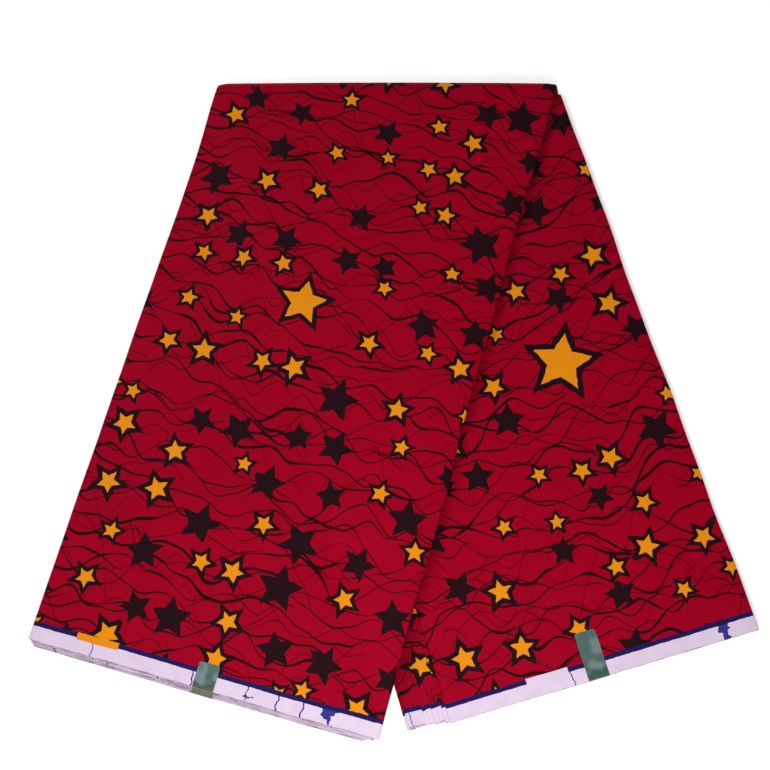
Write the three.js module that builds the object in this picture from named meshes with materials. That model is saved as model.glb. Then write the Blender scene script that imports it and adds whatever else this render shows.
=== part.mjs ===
// Six yards of wax print cotton, pleated into a flat bundle, turned over once and laid down as a fan.
// Millimetres, +Z up. The crest of the turn lies along X, and both selvedge ends point towards -Y.
// The origin is the centre of the underside.
import * as THREE from "three";
import { mergeVertices } from "three/addons/utils/BufferGeometryUtils.js";

// Driving sizes of the cloth and of the bundle that it is pleated into
const CLOTH_WIDTH = 1180; // selvedge to selvedge, along the bundle
const BUNDLE_WIDTH = 312; // across one pleat
const BUNDLE_THICK = 11; // eighteen layers and the air between them
const FAN_ANGLE = THREE.MathUtils.degToRad(16); // each leaf leans this far from the crest's normal
const UPPER_REACH = 591.5; // from the crest to the upper leaf's end, along the middle of the leaf
const LOWER_REACH = CLOTH_WIDTH - UPPER_REACH;
const END_STAGGER = 5; // outer layers take the longer way round the turn and end this much shorter

// Walls and gaps
const PLY = 1; // one layer that shows, modelled as a wall
const GAP = 0.3; // between a wall and the hidden layers under it
const LEAF_GAP = 0.7; // between the two leaves where they lie on each other
const SKIN = PLY + GAP;

// The turn at the crest
const INNER_RADIUS = LEAF_GAP / 2;
const OUTER_RADIUS = INNER_RADIUS + BUNDLE_THICK;
const TURN_STEPS = 12;
const PLY_LAPS_TURN = -0.8; // the outer wall ends this share of the turn down, clear of the ground
const SKIN_ENDS = -0.85; // and the hidden layers take up its thickness from here to the ground

// The upper leaf comes down off the lower one over this width
const DRAPE_WIDTH = 50;
const DRAPE_START = 30; // and it begins to come down over this length after the turn
const LIFT = OUTER_RADIUS + INNER_RADIUS;

// The rows of each wall along its length, and the steps across it
const UPPER_ROWS = 16;
const LOWER_ROWS = 6;
const STEPS_ACROSS = 12;

// The hidden layers as eight pleats, from the inside of the turn to the outside. Each row says how far a
// pleat's edges stand back on the upper leaf and on the lower leaf: at the left, the right and the end.
const PLEATS = [
  { upperLeft: 4, upperRight: 12, upperEnd: 0.6, lowerLeft: 33, lowerRight: 0.8, lowerEnd: 1.2 },
  { upperLeft: 3.6, upperRight: 10, upperEnd: 0, lowerLeft: 29, lowerRight: 1.6, lowerEnd: 0.4 },
  { upperLeft: 3, upperRight: 8.2, upperEnd: 1.1, lowerLeft: 24, lowerRight: 1, lowerEnd: 1.6 },
  { upperLeft: 2.6, upperRight: 6.4, upperEnd: 0.3, lowerLeft: 20, lowerRight: 2.2, lowerEnd: 0.8 },
  { upperLeft: 2, upperRight: 5, upperEnd: 0.9, lowerLeft: 17, lowerRight: 1.4, lowerEnd: 1.8 },
  { upperLeft: 1.6, upperRight: 3.4, upperEnd: 0.2, lowerLeft: 2, lowerRight: 2.6, lowerEnd: 0.6 },
  { upperLeft: 1, upperRight: 2.2, upperEnd: 0.8, lowerLeft: 0.8, lowerRight: 2, lowerEnd: 1.4 },
  { upperLeft: 0.6, upperRight: 1.2, upperEnd: 0.4, lowerLeft: 1.8, lowerRight: 2.8, lowerEnd: 0.9 },
];
const PLEAT_ROUND = 0.18; // share of a pleat's thickness that its edge is rounded over
const PLEAT_GROOVE = 1.5; // how far the groove between two pleats goes in
const INNER_LAYER = { lowerLeft: 36.5 }; // the layer on top of the stepped pleats stands furthest back
const STEPS_OPEN_OVER = 350; // the stepped edge opens over this length of the lower leaf
const PLY_EDGE = 0.35; // rounding of a wall's own edge

// The foil labels that close the layers over each selvedge
const LABEL = { width: 18.5, thick: 0.4, stepsAcross: 2 };
const UPPER_LABEL = { across: 1, onFace: 22 };
const LOWER_LABEL = { across: 12.5, onFace: 41 };

const COLOURS = { print: 0xa50020, selvedge: 0xe6d4e4, label: 0x3f6f62 };

const { cos, sin, tan, PI } = Math;
const clamp01 = (v) => THREE.MathUtils.clamp(v, 0, 1);
const ease = (v) => THREE.MathUtils.smoothstep(v, 0, 1);
const lerp = THREE.MathUtils.lerp;

// How far a point of the upper leaf comes down, from how far it lies outside the lower leaf's left edge.
function drop(x, y, along) {
  const outside = -(x + BUNDLE_WIDTH / 2 / cos(FAN_ANGLE)) * cos(FAN_ANGLE) - y * sin(FAN_ANGLE);
  const past = clamp01((along - OUTER_RADIUS) / DRAPE_START);
  return LIFT * ease(outside / DRAPE_WIDTH) * past;
}

// Puts a point of the flat bundle in space. along is its distance from the crest line, positive on the
// upper leaf and negative on the lower. across runs over the pleat, and depth counts from the inside of
// the turn.
function place(along, across, depth) {
  const radius = INNER_RADIUS + depth;
  const x = across / cos(FAN_ANGLE) - along * tan(FAN_ANGLE);
  const turn = THREE.MathUtils.clamp(along / OUTER_RADIUS, -1, 1) * (PI / 2);
  const beyond = Math.max(Math.abs(along) - OUTER_RADIUS, 0);
  const y = radius * cos(turn) - OUTER_RADIUS - beyond;
  let z = OUTER_RADIUS + radius * sin(turn);
  if (along > 0) z -= drop(x, y, along);
  return new THREE.Vector3(x, y, z);
}

// The distance from the crest line of a leaf's square-cut end, at a place across it.
function endOf(upper, across, depth, standsBack) {
  const reach = upper ? UPPER_REACH : LOWER_REACH;
  const stagger = upper ? END_STAGGER * (1 - depth / BUNDLE_THICK) : (-END_STAGGER * depth) / BUNDLE_THICK;
  const length = reach + stagger - standsBack;
  return (upper ? 1 : -1) * length * cos(FAN_ANGLE) + across * sin(FAN_ANGLE);
}

// A wall or a stack of layers: rows along the bundle, steps across it, and levels through it. Each level
// gives its depth at a row and how far its edges stand back. Rows run from the lower end to the upper end.
function stack({ rows, levels }) {
  const point = (row, step, level) => {
    const share = step / STEPS_ACROSS;
    const edgeAt = (along) =>
      lerp(
        -BUNDLE_WIDTH / 2 + standsBack(along, level, "Left") + level.edge,
        BUNDLE_WIDTH / 2 - standsBack(along, level, "Right") - level.edge,
        share,
      );
    const along = row.along(edgeAt(row.near), level);
    return place(along, edgeAt(along), level.depth(along));
  };
  const corners = [];
  const quad = (a, b, c, d) => corners.push(a, b, c, a, c, d);
  const last = rows.length - 1;
  const top = levels.at(-1);
  const base = levels[0];
  for (let i = 0; i < last; i++) {
    for (let j = 0; j < STEPS_ACROSS; j++) {
      const face = (level) => [
        point(rows[i], j, level),
        point(rows[i + 1], j, level),
        point(rows[i + 1], j + 1, level),
        point(rows[i], j + 1, level),
      ];
      const [a, b, c, d] = face(base);
      quad(...face(top));
      quad(a, d, c, b);
    }
  }
  const wall = (rowA, stepA, rowB, stepB) => {
    for (let k = 0; k + 1 < levels.length; k++) {
      quad(
        point(rowA, stepA, levels[k]),
        point(rowA, stepA, levels[k + 1]),
        point(rowB, stepB, levels[k + 1]),
        point(rowB, stepB, levels[k]),
      );
    }
  };
  for (let i = 0; i < last; i++) {
    wall(rows[i + 1], 0, rows[i], 0);
    wall(rows[i], STEPS_ACROSS, rows[i + 1], STEPS_ACROSS);
  }
  for (let j = 0; j < STEPS_ACROSS; j++) {
    wall(rows[0], j, rows[0], j + 1);
    wall(rows[last], j + 1, rows[last], j);
  }
  return mergeVertices(new THREE.BufferGeometry().setFromPoints(corners), 1e-4);
}

// How far a level's edge stands back. The lower leaf's stepped edge opens down its length, and the upper
// leaf's edges keep their slope from the turn to the end.
function standsBack(along, level, side) {
  const onUpper = clamp01(0.5 + along / (2 * OUTER_RADIUS));
  const onLower = ease(-along / STEPS_OPEN_OVER);
  return (level[`upper${side}`] ?? 0) * onUpper + (level[`lower${side}`] ?? 0) * onLower;
}

// A row at one share of the turn, from -1 on the ground to 1 on top, and the rows between two shares.
function turnRow(share) {
  const along = share * OUTER_RADIUS;
  return { near: along, along: () => along };
}
const turnRows = (from, to) =>
  Array.from({ length: TURN_STEPS + 1 }, (_, i) => turnRow(lerp(from, to, i / TURN_STEPS)));

// The rows of a leaf, from its end to where the turn starts.
function leafRows(upper, count) {
  const sign = upper ? 1 : -1;
  const reach = upper ? UPPER_REACH : LOWER_REACH;
  const rows = Array.from({ length: count }, (_, i) => {
    const share = (i + 1) / count;
    return {
      near: sign * lerp(OUTER_RADIUS, reach * cos(FAN_ANGLE), share),
      along: (across, level) => {
        const standsBack = (level[upper ? "upperEnd" : "lowerEnd"] ?? 0) + level.edge;
        const end = endOf(upper, across, level.middle, standsBack);
        return lerp(sign * OUTER_RADIUS, end, share);
      },
    };
  });
  return upper ? rows : rows.reverse();
}

// Rounded levels of one wall, between two depths. back says how far its edges stand back.
function wallLevels(from, to, back = {}) {
  const middle = (from + to) / 2;
  return [from, middle, to].map((depth) => ({
    ...back,
    depth: () => depth,
    middle,
    edge: depth === middle ? 0 : PLY_EDGE,
  }));
}

// Levels of the hidden layers: two on each pleat's edge, and a groove between each pleat and the next.
function pleatLevels() {
  const innerFace = (along) => SKIN * clamp01(-along / OUTER_RADIUS);
  const outerFace = (along) =>
    BUNDLE_THICK - SKIN * clamp01((along / OUTER_RADIUS + 1) / (SKIN_ENDS + 1));
  const levelAt = (share, back, edge) => ({
    ...back,
    depth: (along) => lerp(innerFace(along), outerFace(along), share),
    middle: share * BUNDLE_THICK,
    edge,
  });
  const furthestBack = (a, b) =>
    Object.fromEntries(Object.keys(a).map((column) => [column, Math.max(a[column], b[column])]));
  const levels = [levelAt(0, PLEATS[0], PLY_EDGE)];
  PLEATS.forEach((pleat, k) => {
    const shareAt = (within) => (k + within) / PLEATS.length;
    if (k > 0) levels.push(levelAt(shareAt(0), furthestBack(pleat, PLEATS[k - 1]), PLEAT_GROOVE));
    levels.push(levelAt(shareAt(PLEAT_ROUND), pleat, 0));
    levels.push(levelAt(shareAt(1 - PLEAT_ROUND), pleat, 0));
  });
  levels.push(levelAt(1, PLEATS.at(-1), PLY_EDGE));
  return levels;
}

// A foil label: it lies on a leaf's face, comes to its end and turns down over the layers there.
function label(upper, { across, onFace }) {
  const face = upper ? BUNDLE_THICK : 0;
  const out = upper ? 1 : -1; // the way that the leaf's upper face looks, in depth
  const down = upper ? BUNDLE_THICK - GAP : SKIN + GAP;
  const slope = upper ? END_STAGGER : 0;
  const raised = (lift) => [
    { back: onFace, depth: face + out * lift },
    { back: onFace / 2, depth: face + out * lift },
    { back: -lift, depth: face + out * lift },
    { back: -lift - slope, depth: face - out * down },
  ];
  const inside = raised(GAP);
  const outside = raised(GAP + LABEL.thick);
  const at = (p, share) => {
    const acrossHere = across + (share - 0.5) * LABEL.width;
    return place(endOf(upper, acrossHere, face, p.back), acrossHere, p.depth);
  };
  const corners = [];
  const quad = (a, b, c, d) => corners.push(a, b, c, a, c, d);
  const steps = LABEL.stepsAcross;
  for (let j = 0; j < steps; j++) {
    const [from, to] = [j / steps, (j + 1) / steps];
    const strip = (p, q) => quad(at(p, from), at(p, to), at(q, to), at(q, from));
    for (let i = 0; i + 1 < inside.length; i++) {
      strip(inside[i], inside[i + 1]);
      strip(outside[i + 1], outside[i]);
    }
    strip(outside[0], inside[0]);
    strip(inside.at(-1), outside.at(-1));
  }
  for (let i = 0; i + 1 < inside.length; i++) {
    const side = [inside[i], inside[i + 1], outside[i + 1], outside[i]];
    quad(...side.map((p) => at(p, 0)));
    quad(...side.map((p) => at(p, 1)).reverse());
  }
  return mergeVertices(new THREE.BufferGeometry().setFromPoints(corners), 1e-4);
}

function part(name, geometry, color, roughness) {
  const mesh = new THREE.Mesh(geometry, new THREE.MeshStandardMaterial({ color, roughness, metalness: 0 }));
  mesh.name = name;
  return mesh;
}

const hiddenLayers = stack({
  rows: [...leafRows(false, LOWER_ROWS), ...turnRows(-1, 1), ...leafRows(true, UPPER_ROWS)],
  levels: pleatLevels(),
});
const outerLayer = stack({
  rows: [...turnRows(PLY_LAPS_TURN, 1), ...leafRows(true, UPPER_ROWS)],
  levels: wallLevels(BUNDLE_THICK - PLY, BUNDLE_THICK),
});
const innerLayer = stack({
  rows: [...leafRows(false, LOWER_ROWS), turnRow(-1)],
  levels: wallLevels(0, PLY, INNER_LAYER),
});

const cloth = new THREE.Group();
cloth.add(
  part("hidden_layers", hiddenLayers, COLOURS.selvedge, 0.85),
  part("outer_layer", outerLayer, COLOURS.print, 0.8),
  part("inner_layer", innerLayer, COLOURS.print, 0.8),
  part("upper_label", label(true, UPPER_LABEL), COLOURS.label, 0.35),
  part("lower_label", label(false, LOWER_LABEL), COLOURS.label, 0.35),
);

// The origin goes to the centre of the underside.
const bounds = new THREE.Box3().setFromObject(cloth, true);
const centre = bounds.getCenter(new THREE.Vector3());
cloth.position.set(-centre.x, -centre.y, -bounds.min.z);

export default cloth;
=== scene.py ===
"""The looks of six yards of wax print cotton, pleated flat, turned over once and laid down as a fan.

Everything is in metres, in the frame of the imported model: +Z up, the crest of the turn along X, both
selvedge ends towards -Y. The cloth's own coordinates are s, across one pleat, and t, from the selvedge at
the upper leaf's end (0) to the one at the lower leaf's end (CLOTH_WIDTH). The print is drawn in them.
"""

import math

import bpy
import numpy as np
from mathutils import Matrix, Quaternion, Vector


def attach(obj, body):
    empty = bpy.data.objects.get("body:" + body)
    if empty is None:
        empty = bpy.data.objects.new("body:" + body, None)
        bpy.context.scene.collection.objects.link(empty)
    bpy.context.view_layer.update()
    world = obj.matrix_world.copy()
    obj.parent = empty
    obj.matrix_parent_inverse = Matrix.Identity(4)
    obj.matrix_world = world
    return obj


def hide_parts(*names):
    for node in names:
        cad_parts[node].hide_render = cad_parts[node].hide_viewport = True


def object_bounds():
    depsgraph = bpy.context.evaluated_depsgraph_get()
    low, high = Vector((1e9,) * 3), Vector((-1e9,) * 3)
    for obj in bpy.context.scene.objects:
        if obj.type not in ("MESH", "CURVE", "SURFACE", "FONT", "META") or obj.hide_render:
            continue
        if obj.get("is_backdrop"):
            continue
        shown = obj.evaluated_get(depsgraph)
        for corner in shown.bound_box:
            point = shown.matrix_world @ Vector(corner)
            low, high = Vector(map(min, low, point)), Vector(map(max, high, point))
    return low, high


MM = 0.001

# The cloth and the bundle that it is pleated into
CLOTH_WIDTH = 1.18
PLEAT_WIDTH = 0.312
BUNDLE_THICK = 11 * MM
FAN_ANGLE = math.radians(16)
UPPER_REACH = 0.5915
LOWER_REACH = CLOTH_WIDTH - UPPER_REACH
END_STAGGER = 5 * MM
LEAF_GAP = 0.7 * MM
COTTON = 0.28 * MM

# The turn at the crest, and the width over which the upper leaf comes down off the lower one
INNER_RADIUS = LEAF_GAP / 2
OUTER_RADIUS = INNER_RADIUS + BUNDLE_THICK
LIFT = OUTER_RADIUS + INNER_RADIUS
DRAPE_WIDTH = 50 * MM
DRAPE_START = 30 * MM  # below the turn, it starts to come down over this length
STEPS_OPEN_OVER = 0.35  # the stepped edge opens over this length of the lower leaf
CREST_BOW = 1.4 * MM  # the crest stands this much further out at its middle
CREST_SKEW = 1.5 * MM  # its left end stands this much out, its right end as much in
CREST_CORNER = 7 * MM  # and both ends are rounded over this width
CREST_CORNER_DEPTH = 2 * MM

# The radius of the folded edges of the outer and the inner layer, and how far they are tucked in
ROLL = 1.2 * MM
OUTER_ROLLS = {"left": ROLL, "lower_right": ROLL, "upper_right": 2.3 * MM}
INNER_ROLLS = {"left": ROLL, "lower_right": ROLL, "upper_right": ROLL}
TUCK = 5 * MM

# How far a leaf's two edges drift from straight lines, and how far each layer drifts from the others
LEFT_DRIFT = 0.7 * MM
RIGHT_DRIFT = 1.5 * MM
OWN_DRIFT = 0.25 * MM

# The pleats between those two layers, from the inside of the turn to the outside, in millimetres. Each row
# gives the depths that a pleat lies between and how far its edges stand back on each leaf.
PLEAT_COLUMNS = (
    "inside", "outside", "upper_left", "upper_right", "upper_end", "lower_left", "lower_right", "lower_end"
)
PLEATS = (
    (0.55, 2.35, 6.2, 14.0, 0.8, 38.5, 3.0, 1.5),
    (3.00, 3.95, 3.6, 10.4, 0.0, 33.0, 1.8, 0.6),
    (4.10, 5.00, 3.2, 8.8, 1.1, 29.0, 1.0, 1.9),
    (5.15, 6.00, 2.4, 7.0, 0.3, 24.2, 2.2, 0.9),
    (6.15, 7.00, 2.2, 5.4, 1.2, 20.2, 1.2, 1.6),
    (7.10, 7.70, 1.4, 4.6, 0.2, 16.8, 2.4, 0.8),
    (7.80, 8.30, 1.0, 3.8, 0.9, 2.2, 1.8, 1.7),
    (8.65, 10.45, 2.2, 3.8, 0.5, 2.4, 3.0, 1.1),
)

# How far the edges of the outer and the inner layer stand back
OUTER_BACK = {"lower_right": 2.6 * MM, "lower_left": 0.2 * MM, "upper_right": 0.2 * MM}
INNER_BACK = {"upper_left": 4.4 * MM, "upper_right": 12.4 * MM, "lower_left": 36.5 * MM}

# The bake maps hold this length of the cloth for each leaf, the lower leaf's from here on, and this much of
# each pleat beside its lower left edge
BAKE_LEAF = 0.62
BAKE_LOWER_FROM = 0.565
BAKE_STEP_INSIDE = 45 * MM
BAKE_STEP_OUTSIDE = 20 * MM

# Away from their edges, where nothing shows, the hidden pleats lie this much closer to the stack's middle
SQUEEZE = 0.2
SQUEEZE_FROM = 8 * MM
SQUEEZE_OVER = 30 * MM

# How far the layers' end lines wave: on the two faces that show, on each pleat, and between a pleat's layers
FACE_WAVE = 0.5 * MM
PLEAT_WAVE = 0.9 * MM
PLEAT_OPENING = 0.7 * MM
SLIP = (1.5 * MM, 4 * MM)  # the least and the most that the print slips sideways from pleat to pleat

# Seeds of the drift that all layers share, and of each pleat's own drift, end line and opening
LEFT_SEED = 11
RIGHT_SEED = 12
PLEAT_SEEDS = {"drift": 20, "end": 60, "opening": 80}

# Steps of the grids: across a layer, round a fold, and along each leaf and the turn
FACE_STEPS = 44
PLEAT_STEPS = 20
FOLD_STEPS = 6
LEAF_STEPS = 48
TURN_STEPS = 20

# Soft ridges and troughs on the two faces that show. along counts from the crest line and across from the
# leaf's middle, heading is the ridge's angle to the leaf's length, and a trough's height is below nothing.
# The first row of each is the fold that the bundle was stored with.
RIDGE_COLUMNS = ("along", "across", "heading", "length", "width", "height")
UPPER_RIDGES = (
    (0.255, 0.00, 89, 0.62, 0.050, 2.4 * MM),
    (0.10, -0.05, 78, 0.20, 0.022, 1.6 * MM),
    (0.155, 0.03, 96, 0.30, 0.020, -0.8 * MM),
    (0.21, 0.07, 66, 0.20, 0.026, 1.4 * MM),
    (0.33, -0.09, 84, 0.18, 0.024, 1.5 * MM),
    (0.37, 0.02, 74, 0.26, 0.018, -0.9 * MM),
    (0.42, 0.09, 58, 0.16, 0.020, 1.6 * MM),
    (0.48, -0.03, 80, 0.24, 0.026, 1.4 * MM),
    (0.535, 0.06, 100, 0.20, 0.018, -0.8 * MM),
    (0.26, 0.142, 6, 0.22, 0.009, 0.8 * MM),
    (0.47, 0.146, -5, 0.12, 0.008, 0.7 * MM),
)
LOWER_RIDGES = (
    (-0.25, 0.10, 91, 0.40, 0.045, 2.0 * MM),
    (-0.16, 0.135, 102, 0.12, 0.020, 1.0 * MM),
    (-0.31, 0.11, 108, 0.20, 0.022, -0.8 * MM),
    (-0.39, 0.05, 98, 0.20, 0.024, 1.5 * MM),
    (-0.47, 0.00, 82, 0.22, 0.020, -0.7 * MM),
    (-0.50, 0.11, 84, 0.12, 0.024, 1.4 * MM),
)
RIDGE_BEND = 0.12  # how far a ridge bends to the side, as a share of its length
RIDGE_AT_EDGE = 0.3  # share of a ridge's height that is left at a folded edge
RIDGE_FADE = 20 * MM  # and the width over which it goes down to that
RIDGE_CLEAR = 6 * MM  # on the lower leaf, ridges keep this far from the upper leaf's edge

# The print
SELVEDGE_BAND = 12.5 * MM
NAVY_LINE = 4 * MM
LINE_RAGGED = 0.4 * MM
# How far in the ragged dark line along each layer's end reaches: painted shade between the layers, partly
# soil
SHADE_LINE_REACH = 0.8 * MM
WEAVE = 0.9 * MM
STAR_CELL = 0.0445
STAR_SMALL = 12.5 * MM
STAR_LARGE = 21.5 * MM
STAR_INSIDE = 0.54  # an orange star's size as a share of the dark one round it
STAR_ALL_DARK = 0.36  # share of the stars that have no orange one inside
STAR_SCATTER = 0.64  # how far the stars lie off an even grid
STAR_ROOM = 1.32  # a star's radius is at most this share of half the way to the next one
STAR_WOBBLE = 1.8 * MM  # how far the outlines wander, as if cut by hand
GREAT_INSIDE = 0.7  # the same share for the few that stand out
GREAT_CLEAR = 11 * MM  # no other star's centre lies this near to one of those
GREAT_TURN = 0.35  # how far the first of those is turned, in radians; the next is turned one more
GREAT_STARS = ((0.170, 0.352, 0.031), (0.085, 0.905, 0.040))  # s, t and radius of the few that stand out

# The veins, as families of wavy lines. long is the length of a wave and tall the mean distance between two
# lines, swing is how far their waves reach in those distances, lean how much the lines climb, sway how far
# they all wander, width is a line's and swell how much wider it is in places.
VEIN_COLUMNS = ("long", "tall", "swing", "lean", "sway", "width", "swell", "seed")
BOLD_VEINS = (
    (0.050, 0.0200, 2.7, -0.04, 0.045, 1.5 * MM, 1.0, 0.0),
    (0.045, 0.0320, 2.0, 0.14, 0.030, 1.1 * MM, 1.2, 4.4),
)
FAINT_VEINS = (
    (0.045, 0.034, 2.4, 0.46, 0.040, 1.1 * MM, 0.3, 7.3),
    (0.045, 0.042, 2.4, -0.50, 0.040, 1.0 * MM, 0.3, 2.1),
)
LINE_DETAIL = 0.6  # how much finer waves add to a line's own
ROW_APART = 17.3  # how far apart two lines' waves are taken from the noise

# On the selvedge: the places of its tabs (s from and to, and whether the top is orange), the mean distance
# between the cracks before some are left out, and the blots (s, whether on the lower leaf's end, and half
# the width)
CODE_TABS = ((0.235, 0.272, True), (0.167, 0.204, False))
TAB_HEIGHT = SELVEDGE_BAND + NAVY_LINE + 0.6 * MM
TAB_TOP_FROM = SELVEDGE_BAND - 1.5 * MM
CRACK_SPACING = 24 * MM
CRACKS_LEFT_OUT = 0.66  # share of them
CRACK_THIN = 0.5 * MM
CRACK_WIDE = 1.9 * MM
CRACK_WANDER = 5 * MM
BLOT_WANDER = 22 * MM
BLOTS = ((0.046, False, 5 * MM), (0.117, False, 1.2 * MM), (0.028, True, 7 * MM))

# The labels: the middle of each across its leaf, and how far it reaches onto the leaf's face
LABEL_WIDTH = 18.5 * MM
LABEL_CORNER = 2.2 * MM
UPPER_LABEL = {"across": 1 * MM, "on_face": 22 * MM}
LOWER_LABEL = {"across": 12.5 * MM, "on_face": 41 * MM}

LABEL_LIFT = 0.25 * MM
LABEL_BEND = 1.2 * MM
LABEL_ENDS_ABOVE = 0.6 * MM  # the upper label's lower edge, above the underside
LABEL_TURNS_DOWN = 1.6 * MM  # and how far the lower label turns down over the end

# The distances from a label's fold over which its foil darkens and then turns copper-brown
FOIL_DARKENS = (3 * MM, 13 * MM)
FOIL_REDDENS = (-6 * MM, 4 * MM)
FOIL_WANDER = 24 * MM

# The floor, and the light: soft from all round, with two area lights
WORLD_LIGHT = 0.40
FLOOR_SIZE = 12
LIGHT_COLUMNS = ("name", "place_at", "aim", "size", "power")
LIGHTS = (
    ("key", (-0.8, 0.7, 1.5), (0, -0.1, 0), 0.7, 13),
    ("front", (0, -0.5, 0.6), (0, -0.15, 0), 0.5, 4.5),
)

# The camera, fitted to the photograph's corners
CAMERA_ELEVATION = math.radians(73.48)
CAMERA_AZIMUTH = math.radians(-0.34)
CAMERA_ROLL = math.radians(0.76)
CAMERA_DISTANCE = 1.2337
CAMERA_LENS = 63.36
AIM_FROM_CREST = (-0.0058, -0.2984)

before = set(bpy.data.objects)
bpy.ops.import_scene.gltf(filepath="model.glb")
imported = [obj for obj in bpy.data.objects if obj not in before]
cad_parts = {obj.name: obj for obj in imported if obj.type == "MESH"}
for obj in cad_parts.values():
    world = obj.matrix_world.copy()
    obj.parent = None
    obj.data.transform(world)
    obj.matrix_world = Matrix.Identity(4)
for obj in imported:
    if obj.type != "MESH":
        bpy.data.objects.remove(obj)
CAD_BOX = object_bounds()


def clamp01(v):
    return np.clip(v, 0.0, 1.0)


def ease(v):
    v = clamp01(v)
    return v * v * (3 - 2 * v)


def lerp(a, b, share):
    return a + (b - a) * share


def rows_of(columns, table):
    return [dict(zip(columns, row)) for row in table]


def crest_middle():
    """Where the middle of the crest's outermost line lies in the frame: the origin of the fan's plan."""
    points = np.array([v.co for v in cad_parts["outer_layer"].data.vertices])
    crest = points[points[:, 1] > points[:, 1].max() - 0.5 * MM]
    return Vector((crest[:, 0].mean(), points[:, 1].max(), 0))


CREST = crest_middle()


def drop(x, y, along):
    """How far a point of the upper leaf comes down, by how far it is outside the lower leaf's left edge."""
    outside = -(x + PLEAT_WIDTH / 2 / math.cos(FAN_ANGLE)) * math.cos(FAN_ANGLE) - y * math.sin(FAN_ANGLE)
    past = clamp01((along - OUTER_RADIUS) / DRAPE_START)
    return LIFT * ease(outside / DRAPE_WIDTH) * past


def place(along, across, depth):
    """Puts points of the flat bundle in space. along is the distance from the crest line, positive on the
    upper leaf; across runs over the pleat; depth counts from the inside of the turn."""
    radius = INNER_RADIUS + depth
    x = across / math.cos(FAN_ANGLE) - along * math.tan(FAN_ANGLE)
    turn = np.clip(along / OUTER_RADIUS, -1, 1) * math.pi / 2
    beyond = np.maximum(np.abs(along) - OUTER_RADIUS, 0)
    side = clamp01((np.abs(across) - PLEAT_WIDTH / 2 + CREST_CORNER) / CREST_CORNER)
    share = across / (PLEAT_WIDTH / 2)
    bow = CREST_BOW * (1 - share**2) - CREST_SKEW * share - CREST_CORNER_DEPTH * side**2
    y = radius * np.cos(turn) - OUTER_RADIUS - beyond + bow * np.cos(turn) * depth / BUNDLE_THICK
    z = OUTER_RADIUS + radius * np.sin(turn)
    z = z - np.where(along > 0, drop(x, y, along), 0)
    return np.stack([x + CREST.x, y + CREST.y, z], -1)


def stands_back(along, back, side):
    """How far an edge stands back at each row: the stepped edge opens down the lower leaf."""
    on_upper = clamp01(0.5 + along / (2 * OUTER_RADIUS))
    on_lower = ease(-along / STEPS_OPEN_OVER)
    return back.get("upper_" + side, 0) * on_upper + back.get("lower_" + side, 0) * on_lower


def end_of(sign, across, depth, back):
    """The distance from the crest line of a leaf's square-cut end, at a place across it."""
    reach = UPPER_REACH if sign > 0 else LOWER_REACH
    share = depth / BUNDLE_THICK
    stagger = END_STAGGER * (1 - share) if sign > 0 else -END_STAGGER * share
    return sign * (reach + stagger - back) * math.cos(FAN_ANGLE) + across * math.sin(FAN_ANGLE)


def row_shares():
    """The rows of a grid from the lower end (-2) over the turn (-1 to 1) to the upper end (2)."""
    leaf = 1 + (np.arange(1, LEAF_STEPS + 1) / LEAF_STEPS) ** 0.9
    turn = np.linspace(-1, 1, TURN_STEPS + 1)
    return np.concatenate([-leaf[::-1], turn, leaf])


SHARES = row_shares()


def along_of(share, across, depth, back, wave):
    """The distance from the crest line at each row. wave moves a layer's end a little, place by place."""
    sign = np.sign(share)
    beyond = clamp01(np.abs(share) - 1)
    upper = end_of(1, across, depth, back.get("upper_end", 0) + wave)
    lower = end_of(-1, across, depth, back.get("lower_end", 0) + wave)
    end = np.where(sign > 0, upper, lower)
    turn = np.clip(share, -1, 1) * OUTER_RADIUS
    return np.where(beyond > 0, lerp(sign * OUTER_RADIUS, end, beyond), turn)


def cloth_t(share, along, across, depth, back, wave):
    """The cloth's coordinate from selvedge to selvedge, true to length from each end."""
    upper = end_of(1, across, depth, back.get("upper_end", 0) + wave)
    lower = end_of(-1, across, depth, back.get("lower_end", 0) + wave)
    from_upper = (upper - along) / math.cos(FAN_ANGLE)
    from_lower = CLOTH_WIDTH - (along - lower) / math.cos(FAN_ANGLE)
    middle = clamp01(0.5 - along / (2 * OUTER_RADIUS))
    return lerp(from_upper, from_lower, middle)


def wander(place_across, seed):
    """A slow, uneven wave between -1 and 1 that gives each layer's end a line of its own."""
    phase = np.random.default_rng(seed).uniform(0, 2 * math.pi, 3)
    scaled = place_across / PLEAT_WIDTH * 2 * math.pi
    waves = ((0.5, 1.3), (0.3, 3.1), (0.2, 7.7))
    return sum(size * np.sin(rate * scaled + phase[k]) for k, (size, rate) in enumerate(waves))


def edge_drift(along, seed):
    """How far a folded edge drifts from its straight line, as a share of the most that it does."""
    phase = np.random.default_rng(seed).uniform(0, 2 * math.pi, 3)
    waves = ((0.35, 14), (0.45, 34), (0.2, 81))
    drift = sum(size * np.sin(rate * along + phase[k]) for k, (size, rate) in enumerate(waves))
    return drift * clamp01(np.abs(along) / 0.05 - 0.4)


def edges_at(along, back, own):
    """Where the left and the right edge of a layer lie: all layers of a leaf drift nearly alike."""
    left_drift = LEFT_DRIFT * edge_drift(along, LEFT_SEED) + OWN_DRIFT * edge_drift(along, own)
    right_drift = RIGHT_DRIFT * edge_drift(along, RIGHT_SEED) + OWN_DRIFT * edge_drift(along, own + 1)
    left = stands_back(along, back, "left") + left_drift - PLEAT_WIDTH / 2
    right = right_drift + PLEAT_WIDTH / 2 - stands_back(along, back, "right")
    return left, right


def middle_of(rows):
    """The distance from the crest line at each row, before the ends' slant is known."""
    leaf_length = UPPER_REACH * math.cos(FAN_ANGLE) - OUTER_RADIUS
    beyond = np.sign(rows) * clamp01(np.abs(rows) - 1) * leaf_length
    return np.clip(rows, -1, 1) * OUTER_RADIUS + beyond


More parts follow.
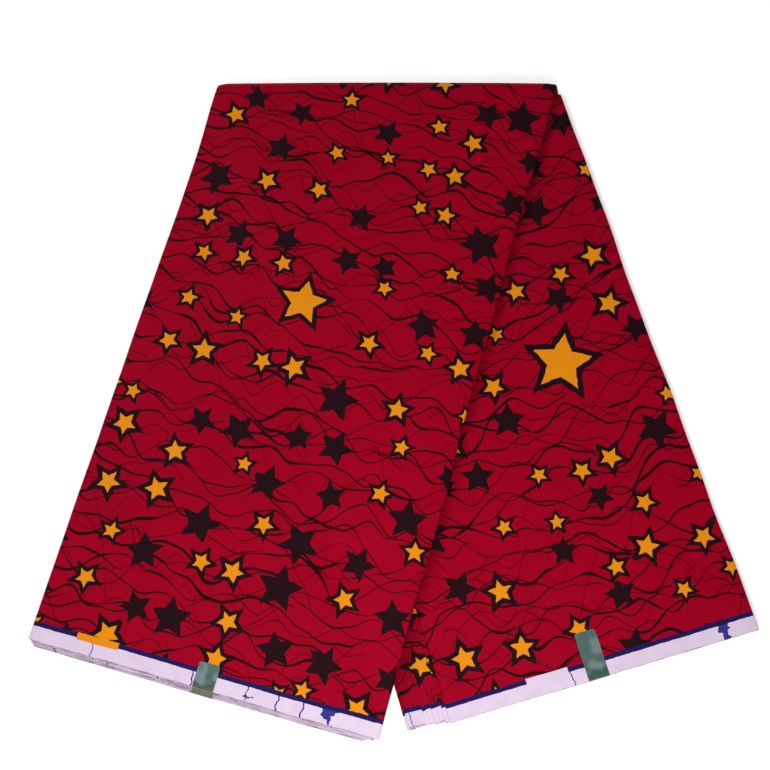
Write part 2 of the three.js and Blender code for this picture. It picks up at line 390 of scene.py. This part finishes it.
def ridge_height(along, across, table):
    """The height of the soft ridges at each point, uneven along each ridge."""
    height = np.zeros_like(along)
    for k, ridge in enumerate(rows_of(RIDGE_COLUMNS, table)):
        heading = math.radians(ridge["heading"])
        da = along - ridge["along"]
        dc = across - ridge["across"]
        lengthwise = da * math.cos(heading) + dc * math.sin(heading)
        sideways = -da * math.sin(heading) + dc * math.cos(heading)
        bend = RIDGE_BEND * ridge["length"] * np.sin(lengthwise / ridge["length"] * 4 + k)
        fade = np.exp(-((2 * lengthwise / ridge["length"]) ** 2))
        height += ridge["height"] * fade * np.exp(-(((sideways - bend) / ridge["width"]) ** 2))
    from_side = ease((PLEAT_WIDTH / 2 - np.abs(across)) / RIDGE_FADE)
    upper_leaf_side = PLEAT_WIDTH / 2 - 2 * np.abs(along) * math.sin(FAN_ANGLE)
    uncovered = np.where(along > 0, 1, ease((across - upper_leaf_side - RIDGE_CLEAR) / (2 * RIDGE_FADE)))
    return height * lerp(RIDGE_AT_EDGE, 1, from_side) * uncovered


def sheet_bake(side, row, column, s, t):
    """The bake map of the outer and the inner layer: the two leaves of the side that shows lie next to each
    other and fill nearly all of it, and everything else gets a thin strip."""
    margin = 4 * MM
    across = (s + margin) / (PLEAT_WIDTH + 2 * margin)
    if side == "front":
        upper = row >= LEAF_STEPS + TURN_STEPS // 2
        from_leaf_start = t if upper else t - BAKE_LOWER_FROM
        return (0.47 * across + (0 if upper else 0.48), from_leaf_start / BAKE_LEAF)
    return (0.965 + 0.03 * across, t / CLOTH_WIDTH)


def shell(name, points, s, t, closed, bake):
    """A closed mesh of cotton round a grid of points, rows by columns. s has one more column than a closed
    loop's points have, so that the loop may have a seam."""
    rows, columns = points.shape[:2]
    around = np.roll(points, -1, 1) - np.roll(points, 1, 1)
    if not closed:
        around[:, 0] = points[:, 1] - points[:, 0]
        around[:, -1] = points[:, -1] - points[:, -2]
    normal = np.cross(np.gradient(points, axis=0), around)
    normal /= np.linalg.norm(normal, axis=2, keepdims=True)
    vertices = np.stack([points + normal * COTTON / 2, points - normal * COTTON / 2]).reshape(-1, 3)
    faces, cloth, baked = [], [], []

    def add(side, ring, row, column):
        faces.append([far * rows * columns + i * columns + j % columns for far, i, j in ring])
        for _, i, j in ring:
            where = (s[i, j], t[i, j % t.shape[1]])
            cloth.append(where)
            baked.append(bake(side, row, column, *where))

    for i in range(rows - 1):
        for j in range(columns if closed else columns - 1):
            ring = ((i, j), (i + 1, j), (i + 1, j + 1), (i, j + 1))
            add("front", [(0, *p) for p in ring], i, j)
            add("back", [(1, *p) for p in reversed(ring)], i, j)
    for j in range(columns if closed else columns - 1):
        for i, (a, b) in ((0, (j, j + 1)), (rows - 1, (j + 1, j))):
            add("wall", ((1, i, a), (0, i, a), (0, i, b), (1, i, b)), min(i, rows - 2), j)
    if not closed:
        for i in range(rows - 1):
            for j, (a, b) in ((0, (i + 1, i)), (columns - 1, (i, i + 1))):
                add("wall", ((1, a, j), (0, a, j), (0, b, j), (1, b, j)), i, j)
    mesh = bpy.data.meshes.new(name)
    mesh.from_pydata(vertices.tolist(), [], faces)
    mesh.uv_layers.new(name="Cloth").data.foreach_set("uv", np.array(cloth, np.float32).ravel())
    mesh.uv_layers.new(name="OFBake").data.foreach_set("uv", np.array(baked, np.float32).ravel())
    mesh.polygons.foreach_set("use_smooth", [True] * len(mesh.polygons))
    mesh.set_sharp_from_angle(angle=math.radians(55))
    obj = bpy.data.objects.new(name, mesh)
    bpy.context.scene.collection.objects.link(obj)
    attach(obj, "root")
    return obj


def face_sheet(name, depth, out, rolls, back, ridges, shown_on, seed):
    """The outer or the inner layer: a flat face whose two folded edges roll over the next pleat. out is 1
    where the face looks to the outside of the turn and -1 where it looks to the inside."""
    fold = np.linspace(0, math.pi, FOLD_STEPS + 1)[1:]
    tucked = (1 + np.arange(3)) / 3 * TUCK
    flat = np.linspace(0, 1, FACE_STEPS + 1)
    share = np.concatenate([0 * tucked, 0 * fold, flat, 0 * fold + 1, 0 * tucked + 1])
    swung = np.concatenate([0 * tucked, -np.sin(fold)[::-1], 0 * flat, np.sin(fold), 0 * tucked])
    pulled = np.concatenate([tucked[::-1], 0 * fold, 0 * flat, 0 * fold, -tucked])
    round_edge = (1 - np.cos(fold)) / 2
    level = np.concatenate([0 * tucked + 1, round_edge[::-1], 0 * flat, round_edge, 0 * tucked + 1])
    rows = SHARES[:, None] + 0 * share[None, :]

    def across_at(along):
        left, right = edges_at(along, back, seed)
        return lerp(left + rolls["left"], right - radius_at(along), share) + swung * radius_at(along) + pulled

    def radius_at(along):
        right = lerp(rolls["lower_right"], rolls["upper_right"], ease(along / 0.03))
        return np.where(share < 0.5, rolls["left"], right)

    wave = FACE_WAVE * wander(across_at(middle_of(rows)), seed)
    along = along_of(rows, across_at(middle_of(rows)), depth, back, wave)
    across = across_at(along)
    shown = clamp01(shown_on * along / 0.03 - 1)
    raised = ridge_height(along, across, ridges) * shown * (1 - level)
    points = place(along, across, depth + out * (raised - 2 * radius_at(along) * level))
    t = cloth_t(rows, along, across, depth, back, wave)
    s = PLEAT_WIDTH / 2 - across + np.where(share < 0.5, 1, -1) * radius_at(along) * math.pi / 2 * level
    return shell(name, points, s, t, False, sheet_bake)


def pleat_loop(pleat, index):
    """One pleat of the hidden layers: two layers joined by a fold at each side, open at both ends."""
    back = {key: value * MM for key, value in pleat.items()}
    inside, outside = back["inside"], back["outside"]
    half = (outside - inside) / 2
    even = np.linspace(0, 1, PLEAT_STEPS + 1)
    flat = lerp(even, 0.5 - 0.5 * np.cos(math.pi * even), 0.6)
    fold = np.linspace(0, math.pi, FOLD_STEPS + 1)[1:-1]
    share = np.concatenate([1 - flat, 0 * fold, flat, 0 * fold + 1])
    bulge = np.concatenate([0 * flat, -np.sin(fold), 0 * flat, np.sin(fold)])
    level = np.concatenate([0 * flat + 1, np.cos(fold), 0 * flat - 1, -np.cos(fold)])
    rows = SHARES[:, None] + 0 * share[None, :]

    def across_at(along):
        left, right = edges_at(along, back, PLEAT_SEEDS["drift"] + 2 * index)
        return lerp(left + half, right - half, share) + bulge * half

    across = across_at(middle_of(rows))
    wave = PLEAT_WAVE * wander(across, PLEAT_SEEDS["end"] + index)
    wave = wave + PLEAT_OPENING * level * wander(across, PLEAT_SEEDS["opening"] + index)
    along = along_of(rows, across, (inside + outside) / 2, back, wave)
    across = across_at(along)
    from_side = clamp01((PLEAT_WIDTH / 2 - np.abs(across) - SQUEEZE_FROM) / SQUEEZE_OVER)
    from_end = clamp01((2 - np.abs(rows)) * 10)
    squeeze = 1 - SQUEEZE * ease(from_side) * from_end
    depth = BUNDLE_THICK / 2 + ((inside + outside - BUNDLE_THICK) / 2 + level * half) * squeeze
    points = place(along, across, depth)
    t = cloth_t(rows, along, across, (inside + outside) / 2, back, wave)
    slip = lerp(*SLIP, np.random.default_rng(index).uniform())
    s_near = PLEAT_WIDTH / 2 - across + slip
    s_far = s_near + 2 * (across - across.min(1, keepdims=True))
    s = np.where(level >= 0, s_far, s_near)
    return points, s, t


def join(name, objects):
    """Joins meshes into one object."""
    bpy.ops.object.select_all(action="DESELECT")
    for obj in objects:
        obj.select_set(True)
    bpy.context.view_layer.objects.active = objects[0]
    bpy.ops.object.join()
    objects[0].name = name
    return objects[0]


def pleat_bake(index):
    """The bake map of one pleat: what shows of it, beside the inner layer's left edge, gets a wide strip of
    its own and the rest a narrow one."""

    def bake(side, row, column, s, t):
        from_step = s - PLEAT_WIDTH + BAKE_STEP_INSIDE
        step_width = BAKE_STEP_INSIDE + BAKE_STEP_OUTSIDE
        if side == "front" and row < LEAF_STEPS and 0 < from_step < step_width:
            return ((index + 0.9 * from_step / step_width) * 0.075, (t - BAKE_LOWER_FROM) / BAKE_LEAF)
        return (0.61 + 0.047 * (index + 0.9 * s / (2 * PLEAT_WIDTH + 10 * MM)), t / CLOTH_WIDTH)

    return bake


def pleats():
    loops = []
    for index, pleat in enumerate(rows_of(PLEAT_COLUMNS, PLEATS)):
        points, s, t = pleat_loop(pleat, index)
        s = np.concatenate([s, s[:, :1]], 1)
        loops.append(shell(f"pleat_{index}", points, s, t, True, pleat_bake(index)))
    return join("pleats", loops)


class Nodes:
    """A short way to write a node tree: each call adds a node and returns its output."""

    def __init__(self, material):
        material.use_nodes = True
        self.tree = material.node_tree
        self.tree.nodes.clear()

    def add(self, kind, inputs=(), output=0, **settings):
        node = self.tree.nodes.new("ShaderNode" + kind)
        for key, value in settings.items():
            setattr(node, key, value)
        for key, value in dict(inputs).items():
            self.put(node.inputs[key], value)
        return node.outputs[output] if node.outputs else None

    def put(self, socket, value):
        if isinstance(value, bpy.types.NodeSocket):
            self.tree.links.new(value, socket)
        else:
            socket.default_value = value

    def math(self, operation, a, b=0.0, c=0.0):
        return self.add("Math", {0: a, 1: b, 2: c}, operation=operation)

    def mix(self, share, a, b):
        return self.add("Mix", {0: share, 6: a, 7: b}, output=2, data_type="RGBA")

    def step(self, value, low, high):
        """1 above high and 0 below low, smooth between."""
        return self.add("MapRange", {0: value, 1: low, 2: high}, interpolation_type="SMOOTHSTEP")

    def noise(self, vector, scale, detail=2.0, output=0, **more):
        inputs = {"Vector": vector, "Scale": scale, "Detail": detail, **more}
        return self.add("TexNoise", inputs, output=output, noise_dimensions="2D")

    def point(self, x, y):
        return self.add("CombineXYZ", {0: x, 1: y, 2: 0.0})

    def length(self, x, y):
        return self.math("SQRT", self.math("MULTIPLY_ADD", x, x, self.math("MULTIPLY", y, y)))


def colour(hexa):
    """A linear colour from a hexadecimal sRGB one."""
    parts = [int(hexa[i : i + 2], 16) / 255 for i in (0, 2, 4)]
    linear = [c / 12.92 if c <= 0.04045 else ((c + 0.055) / 1.055) ** 2.4 for c in parts]
    return (*linear, 1.0)


RED = colour("8e001b")
RED_DEEP = colour("84001a")
VEIN = colour("1f060b")
VEIN_FAINT = colour("4c000c")
STAR_DARK = colour("1e0b10")
STAR_ORANGE = colour("cd7c10")
SELVEDGE = colour("cbbccf")
SELVEDGE_DULL = colour("bda9bf")
# The dark line along the layers' ends: painted shade between the layers, partly soil; purple-brown on the
# upper leaf, red-brown on the lower
EDGE_SHADE = colour("6a4853")
EDGE_SHADE_RED = colour("7c2c22")
NAVY = colour("1c1548")
BLOT_BLUE = colour("2d2f77")
FOIL_GREEN = colour("3c5650")
FOIL_GREY = colour("5f7073")
FOIL_DARK = colour("1d4236")
FOIL_COPPER = colour("4a4224")
FLOOR = colour("f6f6f6")


def star_norm(n, dx, dy, turn):
    """How far a point lies from a star's centre, where 1 times the star's radius is its outline."""
    half = math.pi / 5
    notch = 0.49  # the notch's radius as a share of the tip's
    whole_turns = 40 * math.pi  # keep the angle above 0
    angle = n.math("ADD", n.math("ARCTAN2", dy, dx), n.math("ADD", turn, whole_turns))
    from_tip = n.math("ABSOLUTE", n.math("SUBTRACT", n.math("MODULO", angle, 2 * half), half))
    a = n.math("SINE", from_tip)
    b = n.math("MULTIPLY", n.math("SINE", n.math("SUBTRACT", half, from_tip)), notch)
    return n.math("DIVIDE", n.math("MULTIPLY", n.length(dx, dy), n.math("ADD", a, b)), notch * math.sin(half))


def star_masks(n, s, t):
    """The masks of the dark stars and of the orange stars inside some of them."""
    wobble = n.noise(n.point(s, t), 130, 1, output=1)
    wobble_s, wobble_t = (n.add("SeparateXYZ", {0: wobble}, output=k) for k in (0, 1))
    hand_s = n.math("MULTIPLY_ADD", n.math("SUBTRACT", wobble_s, 0.5), STAR_WOBBLE, s)
    hand_t = n.math("MULTIPLY_ADD", n.math("SUBTRACT", wobble_t, 0.5), STAR_WOBBLE, t)
    cells = {"Vector": n.point(hand_s, hand_t), "Scale": 1 / STAR_CELL, "Randomness": STAR_SCATTER}
    centre = n.add("TexVoronoi", cells, output=2, voronoi_dimensions="2D", feature="F1")
    chance = n.add("TexVoronoi", cells, output=1, voronoi_dimensions="2D", feature="F1")
    room = n.add("TexVoronoi", cells, output=4, voronoi_dimensions="2D", feature="N_SPHERE_RADIUS")
    size_chance, kind_chance, turn_chance = (n.add("SeparateColor", {0: chance}, output=k) for k in range(3))
    centre_s, centre_t = (n.add("SeparateXYZ", {0: centre}, output=k) for k in (0, 1))
    dx = n.math("SUBTRACT", hand_s, centre_s)
    dy = n.math("SUBTRACT", hand_t, centre_t)
    norm = star_norm(n, dx, dy, n.math("MULTIPLY", turn_chance, 2 * math.pi))
    wanted = n.math("MULTIPLY_ADD", size_chance, STAR_LARGE - STAR_SMALL, STAR_SMALL)
    radius = n.math("MINIMUM", wanted, n.math("MULTIPLY", room, STAR_ROOM * STAR_CELL))
    near_great = great_dark = great_orange = 0.0
    for k, (great_s, great_t, great_radius) in enumerate(GREAT_STARS):
        away = n.length(n.math("SUBTRACT", centre_s, great_s), n.math("SUBTRACT", centre_t, great_t))
        near_great = n.math("MAXIMUM", near_great, n.math("LESS_THAN", away, great_radius + GREAT_CLEAR))
        off_s = n.math("SUBTRACT", hand_s, great_s)
        off_t = n.math("SUBTRACT", hand_t, great_t)
        great = star_norm(n, off_s, off_t, GREAT_TURN + k)
        inside = n.math("LESS_THAN", great, GREAT_INSIDE * great_radius)
        great_dark = n.math("MAXIMUM", great_dark, n.math("LESS_THAN", great, great_radius))
        great_orange = n.math("MAXIMUM", great_orange, inside)
    keep = n.math("SUBTRACT", 1.0, near_great)
    dark = n.math("MULTIPLY", n.math("LESS_THAN", norm, radius), keep)
    outlined = n.math("MULTIPLY", n.math("GREATER_THAN", kind_chance, STAR_ALL_DARK), keep)
    orange = n.math("MULTIPLY", n.math("LESS_THAN", norm, n.math("MULTIPLY", radius, STAR_INSIDE)), outlined)
    return n.math("MAXIMUM", dark, great_dark), n.math("MAXIMUM", orange, great_orange)


def wavy_lines(n, s, t, long, tall, swing, lean, sway, width, swell, seed):
    """Lines across the pleat, one in each row, each with waves of its own, so that it meets the next, runs
    along with it and parts again."""
    slow = n.noise(n.point(n.math("MULTIPLY_ADD", s, 5, seed), n.math("MULTIPLY", t, 3)), 1, 0)
    climb = n.math("MULTIPLY_ADD", s, lean, t)
    climb = n.math("MULTIPLY_ADD", n.math("SUBTRACT", slow, 0.5), sway, climb)
    climb = n.math("DIVIDE", climb, tall)
    row = n.math("FLOOR", climb)
    beyond = n.math("SUBTRACT", climb, row)
    nearest = 9.0
    for step in (-1, 0, 1):
        number = n.math("MULTIPLY_ADD", n.math("ADD", row, step), ROW_APART, seed)
        lift = n.noise(n.point(n.math("DIVIDE", s, long), number), 1, LINE_DETAIL)
        level = n.math("MULTIPLY_ADD", n.math("SUBTRACT", lift, 0.5), swing, 0.5 + step)
        off = n.math("ABSOLUTE", n.math("SUBTRACT", beyond, level))
        nearest = n.math("MINIMUM", nearest, off)
    distance = n.math("MULTIPLY", nearest, tall)
    uneven = n.noise(n.point(n.math("ADD", s, seed), t), 26, 2)
    swollen = n.step(n.noise(n.point(s, n.math("ADD", t, seed)), 15, 2), 0.52, 0.66)
    share = n.math("MULTIPLY_ADD", uneven, 2.0, -0.1)
    half = n.math("MULTIPLY", n.math("MULTIPLY_ADD", swollen, swell, share), width / 2)
    core = n.math("MULTIPLY", half, 0.75)
    rim = n.math("MULTIPLY", half, 1.3)
    return n.math("SUBTRACT", 1.0, n.step(distance, core, rim))


def veins(n, s, t, table):
    mask = 0.0
    for row in rows_of(VEIN_COLUMNS, table):
        mask = n.math("MAXIMUM", mask, wavy_lines(n, s, t, **row))
    return mask


def selvedge_marks(n, s, t, from_edge):
    """Navy cracks that cross the pale band here and there, and a few blots that run down from its line."""
    bend = n.noise(n.point(n.math("MULTIPLY", s, 40), n.math("MULTIPLY", from_edge, 170)), 1, 1)
    bent = n.math("MULTIPLY_ADD", n.math("SUBTRACT", bend, 0.5), CRACK_WANDER, s)
    lower = n.math("GREATER_THAN", t, CLOTH_WIDTH / 2)
    leaf_apart = 31.0
    place_on = n.math("MULTIPLY_ADD", lower, leaf_apart, n.math("DIVIDE", bent, CRACK_SPACING))
    off, chance = (
        n.add("TexVoronoi", {"W": place_on, "Scale": 1.0}, output=k, voronoi_dimensions="1D", feature="F1")
        for k in (0, 1)
    )
    there, wide = (n.add("SeparateColor", {0: chance}, output=k) for k in (0, 1))
    half = n.math("MULTIPLY_ADD", wide, (CRACK_WIDE - CRACK_THIN) / 2, CRACK_THIN / 2)
    crack = n.math("LESS_THAN", n.math("MULTIPLY", off, CRACK_SPACING), half)
    mask = n.math("MULTIPLY", crack, n.math("GREATER_THAN", there, CRACKS_LEFT_OUT))
    runs = n.noise(n.point(n.math("MULTIPLY", s, 70), n.math("MULTIPLY", from_edge, 90)), 1, 2)
    run = n.math("MULTIPLY_ADD", n.math("SUBTRACT", runs, 0.5), BLOT_WANDER, s)
    for blot_s, on_lower, blot_half in BLOTS:
        away = n.math("ABSOLUTE", n.math("SUBTRACT", run, blot_s))
        taper = n.math("MULTIPLY_ADD", from_edge, 0.75 * blot_half / SELVEDGE_BAND, 0.25 * blot_half)
        on_leaf = lower if on_lower else n.math("SUBTRACT", 1.0, lower)
        mask = n.math("MAXIMUM", mask, n.math("MULTIPLY", n.math("LESS_THAN", away, taper), on_leaf))
    return mask


def ground(n, s, t):
    """The red ground with its veins and stars."""
    inked = n.mix(n.noise(n.point(s, t), 9, 3), RED, RED_DEEP)
    patchy = n.step(n.noise(n.point(s, t), 16, 1), 0.38, 0.50)
    inked = n.mix(n.math("MULTIPLY", veins(n, s, t, FAINT_VEINS), patchy), inked, VEIN_FAINT)
    inked = n.mix(veins(n, s, t, BOLD_VEINS), inked, VEIN)
    dark, orange = star_masks(n, s, t)
    inked = n.mix(dark, inked, STAR_DARK)
    return n.mix(orange, inked, STAR_ORANGE)


def selvedge(n, s, t, from_edge, inked):
    """The pale band with its navy line and marks, and on each end a bare tab that breaks the line."""
    ragged = n.math("MULTIPLY_ADD", n.noise(n.point(s, t), 160, 2), 2 * LINE_RAGGED, from_edge)
    ragged = n.math("SUBTRACT", ragged, LINE_RAGGED)
    navy = n.math("LESS_THAN", ragged, SELVEDGE_BAND + NAVY_LINE)
    band = n.math("LESS_THAN", ragged, SELVEDGE_BAND)
    pale = n.mix(n.noise(n.point(s, t), 70, 3), SELVEDGE, SELVEDGE_DULL)
    pale = n.mix(selvedge_marks(n, s, t, from_edge), pale, BLOT_BLUE)
    inked = n.mix(navy, inked, NAVY)
    inked = n.mix(band, inked, pale)
    for k, (start, end, orange_top) in enumerate(CODE_TABS):
        on_leaf = n.math("LESS_THAN" if k == 0 else "GREATER_THAN", t, CLOTH_WIDTH / 2)
        along = n.math("MULTIPLY", n.math("GREATER_THAN", s, start), n.math("LESS_THAN", s, end))
        up = n.math("LESS_THAN", from_edge, TAB_HEIGHT)
        tab = n.math("MULTIPLY", n.math("MULTIPLY", on_leaf, along), up)
        inked = n.mix(tab, inked, pale)
        if orange_top:
            top = n.math("GREATER_THAN", from_edge, TAB_TOP_FROM)
            inked = n.mix(n.math("MULTIPLY", tab, top), inked, STAR_ORANGE)
    return inked


def shaded_soiled_end(n, s, t, from_edge, inked):
    """A ragged dark line along the very edge of each end: partly painted shade between the layers' ends,
    partly soil, purple-brown on the upper leaf's end and red-brown on the lower leaf's.
    """
    ragged_from_edge = n.math("MULTIPLY_ADD", n.noise(n.point(s, t), 300, 2), -SHADE_LINE_REACH, from_edge)
    shade_line = n.math("LESS_THAN", ragged_from_edge, 0.1 * MM)
    soil_and_shade = n.step(n.noise(n.point(s, 0), 60, 3), 0.42, 0.62)
    edge_shade_colour = n.mix(n.math("GREATER_THAN", t, CLOTH_WIDTH / 2), EDGE_SHADE, EDGE_SHADE_RED)
    return n.mix(n.math("MULTIPLY", shade_line, n.math("MULTIPLY_ADD", soil_and_shade, 0.5, 0.2)), inked, edge_shade_colour)


def weave(n, s, t):
    """The bump of the threads."""
    threads = n.math("SINE", n.math("MULTIPLY", s, 2 * math.pi / WEAVE))
    threads = n.math("MULTIPLY_ADD", n.math("SINE", n.math("MULTIPLY", t, 2 * math.pi / WEAVE)), threads, 0.5)
    return n.add("Bump", {"Height": threads, "Strength": 0.12, "Distance": 0.05 * MM})


def wax_print():
    """The printed cotton: a red ground with veins and stars, and a pale selvedge with a navy line."""
    material = bpy.data.materials.new("wax_print")
    n = Nodes(material)
    uv = n.add("UVMap", uv_map="Cloth")
    s, t = (n.add("SeparateXYZ", {0: uv}, output=k) for k in (0, 1))
    from_edge = n.math("MINIMUM", t, n.math("SUBTRACT", CLOTH_WIDTH, t))
    inked = selvedge(n, s, t, from_edge, ground(n, s, t))
    # A dark line along each layer's end: painted shade between the layers, partly soil
    inked = shaded_soiled_end(n, s, t, from_edge, inked)
    look = {"Base Color": inked, "Roughness": 0.55, "Specular IOR Level": 0.02, "Normal": weave(n, s, t)}
    n.add("OutputMaterial", {0: n.add("BsdfPrincipled", look)})
    return material


def foil():
    """Plain foil: grey-green and cloudy, darker towards its end and copper-brown where it turns down."""
    material = bpy.data.materials.new("foil_label")
    n = Nodes(material)
    uv = n.add("UVMap", uv_map="Cloth")
    back = n.add("SeparateXYZ", {0: uv}, output=1)
    cloudy = n.step(n.noise(uv, 70, 2), 0.35, 0.65)
    green = n.mix(cloudy, FOIL_GREEN, FOIL_GREY)
    drift = n.math("SUBTRACT", n.noise(uv, 75, 1), 0.5)
    drift = n.math("MULTIPLY_ADD", drift, FOIL_WANDER, back)
    green = n.mix(n.math("SUBTRACT", 1.0, n.step(drift, *FOIL_DARKENS)), green, FOIL_DARK)
    green = n.mix(n.math("SUBTRACT", 1.0, n.step(drift, *FOIL_REDDENS)), green, FOIL_COPPER)
    bump = n.add("Bump", {"Height": n.noise(uv, 150, 2), "Strength": 0.15, "Distance": 0.4 * MM})
    look = {"Base Color": green, "Roughness": 0.38, "Metallic": 0.3, "Normal": bump}
    n.add("OutputMaterial", {0: n.add("BsdfPrincipled", look)})
    return material


def label_bake(side, row, column, s, t):
    return ((s + 0.2) * 2.2 % 1, (t + 0.02) * 12)


def label(name, sign, across, on_face):
    """A foil label that lies on a leaf's face and turns down over the layers at its end."""
    outer = sign > 0
    face = BUNDLE_THICK if outer else 0.0
    out = 1 if outer else -1
    down = BUNDLE_THICK - LABEL_ENDS_ABOVE if outer else LABEL_TURNS_DOWN
    lift = LABEL_LIFT
    bend = LABEL_BEND
    near_corners = np.array([0, 0.004, 0.012, 0.025, 0.045, 0.07])
    flat = on_face - (on_face - bend) * np.concatenate([near_corners, np.linspace(0.12, 1, 12)])
    turn = np.linspace(0, math.pi / 2, 6)[1:]
    front = np.linspace(0, 1, 8)[1:]
    slope = END_STAGGER if outer else 0
    back = np.concatenate([flat, bend - bend * np.sin(turn) - lift, -lift - slope * front])
    sunk = np.concatenate([0 * flat, bend * (1 - np.cos(turn)), lerp(bend, down, front)])
    sides = np.linspace(-0.5, 0.5, 9)
    from_far = np.maximum(LABEL_CORNER - (on_face - back), 0)
    narrowed = LABEL_CORNER - np.sqrt(LABEL_CORNER**2 - from_far**2)
    middle = across + sides[None, :] * (LABEL_WIDTH - 2 * narrowed[:, None])
    depth = face + out * (lift - sunk[:, None]) + 0 * middle
    along = end_of(sign, middle, face, back[:, None])
    points = place(along, middle, depth)
    s = middle + 0 * points[..., 0]
    t = back[:, None] + 0 * s
    return shell(name, points, s, t, False, label_bake)


def floor():
    bpy.ops.mesh.primitive_plane_add(size=FLOOR_SIZE, location=(0, 0, 0))
    plane = bpy.context.object
    plane.name = "floor"
    material = bpy.data.materials.new("pale_floor")
    n = Nodes(material)
    paper = {"Base Color": FLOOR, "Roughness": 0.8, "Emission Color": FLOOR, "Emission Strength": 0.3}
    n.add("OutputMaterial", {0: n.add("BsdfPrincipled", paper)})
    plane.data.materials.append(material)
    plane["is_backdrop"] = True


def area_light(name, place_at, aim, size, power):
    light = bpy.data.lights.new(name, "AREA")
    light.size = size
    light.energy = power
    obj = bpy.data.objects.new(name, light)
    obj.location = place_at
    obj.rotation_euler = (Vector(aim) - Vector(place_at)).to_track_quat("-Z", "Y").to_euler()
    bpy.context.scene.collection.objects.link(obj)


def studio():
    """Soft light from all round, from the upper left and from the front, and the photograph's camera."""
    scene = bpy.context.scene
    scene.view_settings.view_transform = "Standard"
    world = bpy.data.worlds.new("studio")
    world.use_nodes = True
    world.node_tree.nodes["Background"].inputs["Color"].default_value = (1, 1, 1, 1)
    world.node_tree.nodes["Background"].inputs["Strength"].default_value = WORLD_LIGHT
    scene.world = world
    for light in rows_of(LIGHT_COLUMNS, LIGHTS):
        area_light(**light)
    aim = Vector((CREST.x + AIM_FROM_CREST[0], CREST.y + AIM_FROM_CREST[1], 0))
    camera = bpy.data.objects.new("camera", bpy.data.cameras.new("camera"))
    camera.data.lens = CAMERA_LENS
    camera.data.sensor_width = 36
    level = math.cos(CAMERA_ELEVATION)
    east = -level * math.sin(CAMERA_AZIMUTH)
    north = -level * math.cos(CAMERA_AZIMUTH)
    back = Vector((east, north, math.sin(CAMERA_ELEVATION)))
    camera.location = aim + back * CAMERA_DISTANCE
    turned = (-back).to_track_quat("-Z", "Y") @ Quaternion((0, 0, 1), -CAMERA_ROLL)
    camera.rotation_euler = turned.to_euler()
    scene.collection.objects.link(camera)
    scene.camera = camera


studio()
floor()

cotton = wax_print()
outer = face_sheet("outer_sheet", BUNDLE_THICK - COTTON / 2, 1, OUTER_ROLLS, OUTER_BACK, UPPER_RIDGES, 1, 1)
inner = face_sheet("inner_sheet", COTTON / 2, -1, INNER_ROLLS, INNER_BACK, LOWER_RIDGES, -1, 5)
hidden = pleats()
for piece in (outer, inner, hidden):
    piece.data.materials.append(cotton)
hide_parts("outer_layer")
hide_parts("inner_layer")
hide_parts("hidden_layers")

green_foil = foil()
for name, sign, sizes in (("upper_label", 1, UPPER_LABEL), ("lower_label", -1, LOWER_LABEL)):
    piece = label(name + "_foil", sign, **sizes)
    piece.data.materials.append(green_foil)
    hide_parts(name)

boxes = {"cad": CAD_BOX, "visual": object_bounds()}
{key: [list(corner) for corner in box] for key, box in boxes.items()}
